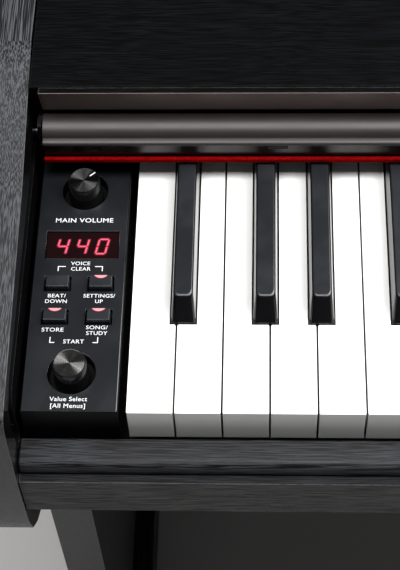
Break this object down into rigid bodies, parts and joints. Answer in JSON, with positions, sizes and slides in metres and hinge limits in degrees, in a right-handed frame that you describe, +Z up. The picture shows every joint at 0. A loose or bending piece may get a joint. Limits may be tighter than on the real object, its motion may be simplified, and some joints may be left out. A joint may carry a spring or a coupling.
{
  "type": "digital piano on stand",
  "caption": "Full-size digital piano on a black woodgrain stand, with a sliding key cover, red felt strip, bass-side control panel, music rest and foot pedals.",
  "frame": {"origin": "on the floor, under the middle of the overall box", "axes": "+Z up, +X towards the treble end, +Y towards the back, so the player sits at -Y"},
  "size_m": [1.388, 0.44, 0.9424],
  "materials": {
    "woodgrain": "black satin lacquer over an open straight grain",
    "gloss_black": "high gloss black",
    "panel_black": "fine satin charcoal black moulding",
    "brown_metal": "satin brown-grey anodised extrusion",
    "red_felt": "red felt",
    "ivory_white": "semi-gloss white key plastic",
    "key_black": "satin black key plastic",
    "button_black": "satin black button with a light crescent",
    "knob_black": "black knob with a spun metal cap",
    "display_red": "glossy dark red window",
    "circuit_green": "green circuit board",
    "steel": "brushed",
    "black_metal": "black powder coat",
    "brass": "polished brass",
    "grey_plastic": "fine-textured dark grey",
    "rubber": "matt rubber"
  },
  "bodies": {
    "cabinet": {"left_side_panel": "woodgrain", "right_side_panel": "woodgrain", "left_foot": "woodgrain", "right_foot": "woodgrain", "top_panel": "woodgrain", "top_trim": "brown_metal", "rear_panel": "woodgrain", "rear_jack_panel": "grey_plastic", "key_bed": "woodgrain", "key_slip": "woodgrain", "fallboard": "gloss_black", "felt_strip": "red_felt", "rest_hinge": "steel", "left_end_block": "panel_black", "right_end_block": "panel_black", "display_window": "display_red", "display_module": "grey_plastic", "control_board": "circuit_green", "keyboard_chassis": "grey_plastic", "main_board": "circuit_green", "left_speaker": "black_metal", "right_speaker": "black_metal", "left_speaker_grille": "black_metal", "right_speaker_grille": "black_metal", "headphone_box": "grey_plastic", "stand_rail": "woodgrain", "stand_panel": "woodgrain", "pedal_box": "woodgrain", "pedal_axle": "steel", "box_leveller": "rubber"},
    "key_cover": {"key_cover": "woodgrain", "cover_rail": "brown_metal", "left_cover_pin": "steel", "right_cover_pin": "steel"},
    "music_rest": {"music_rest": "woodgrain", "music_rest_lip": "woodgrain"},
    "volume_knob": {"volume_knob": "knob_black"},
    "data_knob": {"data_knob": "knob_black"},
    "soft_pedal": {"soft_pedal": "brass"},
    "sostenuto_pedal": {"sostenuto_pedal": "brass"},
    "damper_pedal": {"damper_pedal": "brass"},
    "reset_button": {"reset_button": "button_black"},
    "sound_button": {"sound_button": "button_black"},
    "record_button": {"record_button": "button_black"},
    "demo_button": {"demo_button": "button_black"},
    "power_button": {"power_button": "button_black"},
    "key_a0": {"key_a0": "ivory_white"},
    "key_b0": {"key_b0": "ivory_white"},
    "key_c1": {"key_c1": "ivory_white"},
    "key_d1": {"key_d1": "ivory_white"},
    "key_e1": {"key_e1": "ivory_white"},
    "key_f1": {"key_f1": "ivory_white"},
    "key_a0_sharp": {"key_a0_sharp": "key_black"},
    "key_c1_sharp": {"key_c1_sharp": "key_black"},
    "key_d1_sharp": {"key_d1_sharp": "key_black"},
    "key_f1_sharp": {"key_f1_sharp": "key_black"},
    "white_bank_low": {"white_bank_low": "ivory_white"},
    "white_bank_high": {"white_bank_high": "ivory_white"},
    "black_bank_low": {"black_bank_low": "key_black"},
    "black_bank_high": {"black_bank_high": "key_black"}
  },
  "joints": [
    {"name": "reset_button_press", "type": "slide", "parent": "cabinet", "child": "reset_button", "axis": [0, 0, -1], "range_m": [0, 0.001], "stiffness_N_per_m": 400, "springref_m": -0.001},
    {"name": "sound_button_press", "type": "slide", "parent": "cabinet", "child": "sound_button", "axis": [0, 0, -1], "range_m": [0, 0.001], "stiffness_N_per_m": 400, "springref_m": -0.001},
    {"name": "record_button_press", "type": "slide", "parent": "cabinet", "child": "record_button", "axis": [0, 0, -1], "range_m": [0, 0.001], "stiffness_N_per_m": 400, "springref_m": -0.001},
    {"name": "demo_button_press", "type": "slide", "parent": "cabinet", "child": "demo_button", "axis": [0, 0, -1], "range_m": [0, 0.001], "stiffness_N_per_m": 400, "springref_m": -0.001},
    {"name": "power_button_press", "type": "slide", "parent": "cabinet", "child": "power_button", "axis": [0, 0, -1], "range_m": [0, 0.001], "stiffness_N_per_m": 400, "springref_m": -0.001},
    {"name": "cover_slide", "type": "slide", "parent": "cabinet", "child": "key_cover", "axis": [0, -1, 0], "range_m": [0, 0.148]},
    {"name": "data_knob_turn", "type": "hinge", "parent": "cabinet", "child": "data_knob", "pos_m": [-0.6384, -0.1726, 0.735], "axis": [0, 0, 1], "continuous": true},
    {"name": "volume_knob_turn", "type": "hinge", "parent": "cabinet", "child": "volume_knob", "pos_m": [-0.6384, -0.0631, 0.735], "axis": [0, 0, 1], "range_deg": [-101, 199]},
    {"name": "soft_pedal_press", "type": "hinge", "parent": "cabinet", "child": "soft_pedal", "pos_m": [-0.062, 0.108, 0.089], "axis": [1, 0, 0], "range_deg": [0, 4.5], "stiffness_Nm_per_rad": 20, "springref_deg": -5.73},
    {"name": "sostenuto_pedal_press", "type": "hinge", "parent": "cabinet", "child": "sostenuto_pedal", "pos_m": [0, 0.108, 0.089], "axis": [1, 0, 0], "range_deg": [0, 4.5], "stiffness_Nm_per_rad": 20, "springref_deg": -5.73},
    {"name": "damper_pedal_press", "type": "hinge", "parent": "cabinet", "child": "damper_pedal", "pos_m": [0.062, 0.108, 0.089], "axis": [1, 0, 0], "range_deg": [0, 4.5], "stiffness_Nm_per_rad": 20, "springref_deg": -5.73},
    {"name": "music_rest_fold", "type": "hinge", "parent": "cabinet", "child": "music_rest", "pos_m": [0, 0.056, 0.7894], "axis": [1, 0, 0], "range_deg": [-75, 0]},
    {"name": "key_a0_press", "type": "hinge", "parent": "cabinet", "child": "key_a0", "pos_m": [-0.59925, 0.024, 0.718], "axis": [1, 0, 0], "range_deg": [0, 2.6], "stiffness_Nm_per_rad": 1.5, "springref_deg": -9.74},
    {"name": "key_b0_press", "type": "hinge", "parent": "cabinet", "child": "key_b0", "pos_m": [-0.57575, 0.024, 0.718], "axis": [1, 0, 0], "range_deg": [0, 2.6], "stiffness_Nm_per_rad": 1.5, "springref_deg": -9.74},
    {"name": "key_c1_press", "type": "hinge", "parent": "cabinet", "child": "key_c1", "pos_m": [-0.55225, 0.024, 0.718], "axis": [1, 0, 0], "range_deg": [0, 2.6], "stiffness_Nm_per_rad": 1.5, "springref_deg": -9.74},
    {"name": "key_d1_press", "type": "hinge", "parent": "cabinet", "child": "key_d1", "pos_m": [-0.52875, 0.024, 0.718], "axis": [1, 0, 0], "range_deg": [0, 2.6], "stiffness_Nm_per_rad": 1.5, "springref_deg": -9.74},
    {"name": "key_e1_press", "type": "hinge", "parent": "cabinet", "child": "key_e1", "pos_m": [-0.50525, 0.024, 0.718], "axis": [1, 0, 0], "range_deg": [0, 2.6], "stiffness_Nm_per_rad": 1.5, "springref_deg": -9.74},
    {"name": "key_f1_press", "type": "hinge", "parent": "cabinet", "child": "key_f1", "pos_m": [-0.48175, 0.024, 0.718], "axis": [1, 0, 0], "range_deg": [0, 2.6], "stiffness_Nm_per_rad": 1.5, "springref_deg": -9.74},
    {"name": "key_a0_sharp_press", "type": "hinge", "parent": "cabinet", "child": "key_a0_sharp", "pos_m": [-0.58414, 0.024, 0.718], "axis": [1, 0, 0], "range_deg": [0, 3], "stiffness_Nm_per_rad": 1, "springref_deg": -9.74},
    {"name": "key_c1_sharp_press", "type": "hinge", "parent": "cabinet", "child": "key_c1_sharp", "pos_m": [-0.54285, 0.024, 0.718], "axis": [1, 0, 0], "range_deg": [0, 3], "stiffness_Nm_per_rad": 1, "springref_deg": -9.74},
    {"name": "key_d1_sharp_press", "type": "hinge", "parent": "cabinet", "child": "key_d1_sharp", "pos_m": [-0.51465, 0.024, 0.718], "axis": [1, 0, 0], "range_deg": [0, 3], "stiffness_Nm_per_rad": 1, "springref_deg": -9.74},
    {"name": "key_f1_sharp_press", "type": "hinge", "parent": "cabinet", "child": "key_f1_sharp", "pos_m": [-0.47336, 0.024, 0.718], "axis": [1, 0, 0], "range_deg": [0, 3], "stiffness_Nm_per_rad": 1, "springref_deg": -9.74},
    {"name": "keys_white_bank_low_press", "type": "hinge", "parent": "cabinet", "child": "white_bank_low", "pos_m": [-0.2, 0.024, 0.718], "axis": [1, 0, 0], "range_deg": [0, 2.6], "stiffness_Nm_per_rad": 34.5, "springref_deg": -9.74},
    {"name": "keys_white_bank_high_press", "type": "hinge", "parent": "cabinet", "child": "white_bank_high", "pos_m": [0.34, 0.024, 0.718], "axis": [1, 0, 0], "range_deg": [0, 2.6], "stiffness_Nm_per_rad": 34.5, "springref_deg": -9.74},
    {"name": "keys_black_bank_low_press", "type": "hinge", "parent": "cabinet", "child": "black_bank_low", "pos_m": [-0.2, 0.024, 0.718], "axis": [1, 0, 0], "range_deg": [0, 3], "stiffness_Nm_per_rad": 17, "springref_deg": -9.74},
    {"name": "keys_black_bank_high_press", "type": "hinge", "parent": "cabinet", "child": "black_bank_high", "pos_m": [0.34, 0.024, 0.718], "axis": [1, 0, 0], "range_deg": [0, 3], "stiffness_Nm_per_rad": 15, "springref_deg": -9.74}
  ]
}
